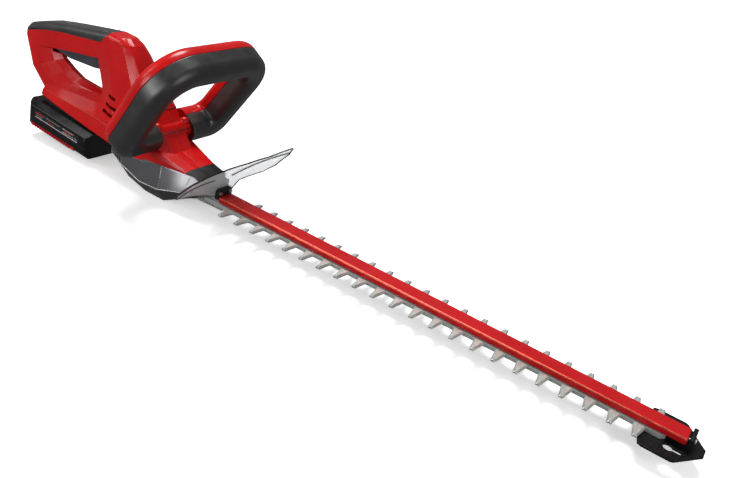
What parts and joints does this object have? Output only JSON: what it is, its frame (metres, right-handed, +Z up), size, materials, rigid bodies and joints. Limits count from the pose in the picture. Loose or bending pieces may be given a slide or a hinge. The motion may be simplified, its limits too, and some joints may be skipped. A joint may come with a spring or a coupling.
{
  "type": "hedge trimmer",
  "caption": "Cordless hedge trimmer: double-sided reciprocating blades, clear hand guard, front hoop handle, D-shaped rear grip with trigger, slide-in battery.",
  "frame": {"origin": "centre of the overall box at its lowest point, on the surface that the gearcase rests on", "axes": "+X along the cutter bar towards its tip, +Z up and square to the blades, +Y to the user's left"},
  "size_m": [0.9788, 0.212, 0.2132],
  "materials": {
    "red_shell": "glossy, moulded",
    "black_plastic": "fine grained",
    "soft_grip": "soft-touch overmould",
    "grey_case": "metallic grey paint, satin",
    "trigger_plastic": "satin",
    "switch_plastic": "satin",
    "clear_guard": "clear polycarbonate, polished",
    "red_cover": "red powder coat on extruded aluminium",
    "blade_steel": "ground, nickel plated",
    "plain_steel": "zinc plated",
    "dark_steel": "blackened",
    "gear_steel": "sintered, oiled",
    "motor_core": "lacquered laminations and windings",
    "sink_alloy": "plain",
    "contact_brass": "plain",
    "cell_sleeve": "shrink sleeve",
    "board": "solder mask",
    "battery_black": "polished, moulded",
    "rib_red": "ribbed strip",
    "button_grey": "satin"
  },
  "bodies": {
    "housing": {"housing_right": "red_shell", "housing_left": "red_shell", "rear_grip": "soft_grip", "housing_screws": "dark_steel", "gearcase_cover": "grey_case", "gearcase_screws": "plain_steel", "nose_band": "black_plastic", "hoop_front": "soft_grip", "hoop_rear": "red_shell", "hand_guard": "clear_guard", "guard_clamp_front": "black_plastic", "guard_clamp_rear": "black_plastic", "guard_screws": "plain_steel", "trigger_pin": "plain_steel", "trigger_spring": "plain_steel", "main_switch": "black_plastic", "battery_shoe": "black_plastic", "contact_blades": "contact_brass", "control_board": "board", "heat_sink": "sink_alloy", "motor_can": "plain_steel", "motor_end_cap": "black_plastic", "bearing_plate": "plain_steel", "base_plate": "plain_steel", "gear_axle": "plain_steel", "blade_carrier": "plain_steel", "cover_bar": "red_cover", "blade_bolts": "plain_steel", "tip_protector": "black_plastic", "tip_screw": "plain_steel"},
    "trigger": {"trigger": "trigger_plastic"},
    "front_switch": {"front_switch_bar": "switch_plastic"},
    "battery": {"battery_case_upper": "battery_black", "battery_case_lower": "battery_black", "battery_side_ribs": "rib_red", "battery_cells": "cell_sleeve", "battery_board": "board", "battery_contacts": "contact_brass"},
    "battery_button": {"battery_release_button": "button_grey"},
    "upper_blade": {"upper_blade": "blade_steel", "upper_teeth": "blade_steel"},
    "lower_blade": {"lower_blade": "blade_steel", "lower_teeth": "blade_steel"},
    "drive": {"drive_gear": "gear_steel", "eccentric_upper": "gear_steel", "eccentric_lower": "gear_steel"},
    "rotor": {"motor_core": "motor_core", "motor_shaft": "plain_steel", "motor_fan": "black_plastic", "drive_pinion": "gear_steel"}
  },
  "joints": [
    {"name": "trigger_hinge", "type": "hinge", "parent": "housing", "child": "trigger", "pos_m": [-0.44063, 0, 0.13], "axis": [0, -1, 0], "range_deg": [0, 6.5], "stiffness_Nm_per_rad": 2, "deforming": ["trigger_spring"]},
    {"name": "front_switch_slide", "type": "slide", "parent": "housing", "child": "front_switch", "axis": [0.5344, 0, 0.8453], "range_m": [0, 0.0035], "stiffness_N_per_m": 1500},
    {"name": "battery_slide", "type": "slide", "parent": "housing", "child": "battery", "axis": [-0.9969, 0, 0.0785], "range_m": [0, 0.1]},
    {"name": "battery_button_slide", "type": "slide", "parent": "battery", "child": "battery_button", "axis": [0.9969, 0, -0.0785], "range_m": [0, 0.0035], "stiffness_N_per_m": 1200},
    {"name": "upper_blade_slide", "type": "slide", "parent": "housing", "child": "upper_blade", "axis": [1, 0, 0], "range_m": [-0.00625, 0.00625]},
    {"name": "lower_blade_slide", "type": "slide", "parent": "housing", "child": "lower_blade", "axis": [1, 0, 0], "range_m": [-0.00625, 0.00625]},
    {"name": "drive_gear_spin", "type": "hinge", "parent": "housing", "child": "drive", "pos_m": [-0.21513, 0, 0.03], "axis": [0, 0, 1], "continuous": true},
    {"name": "motor_spin", "type": "hinge", "parent": "housing", "child": "rotor", "pos_m": [-0.24763, 0, 0.05], "axis": [0, 0, 1], "continuous": true}
  ],
  "couplings": [
    {"joint": "lower_blade_slide", "follows": "upper_blade_slide", "ratio": -1},
    {"joint": "motor_spin", "follows": "drive_gear_spin", "ratio": -4}
  ]
}
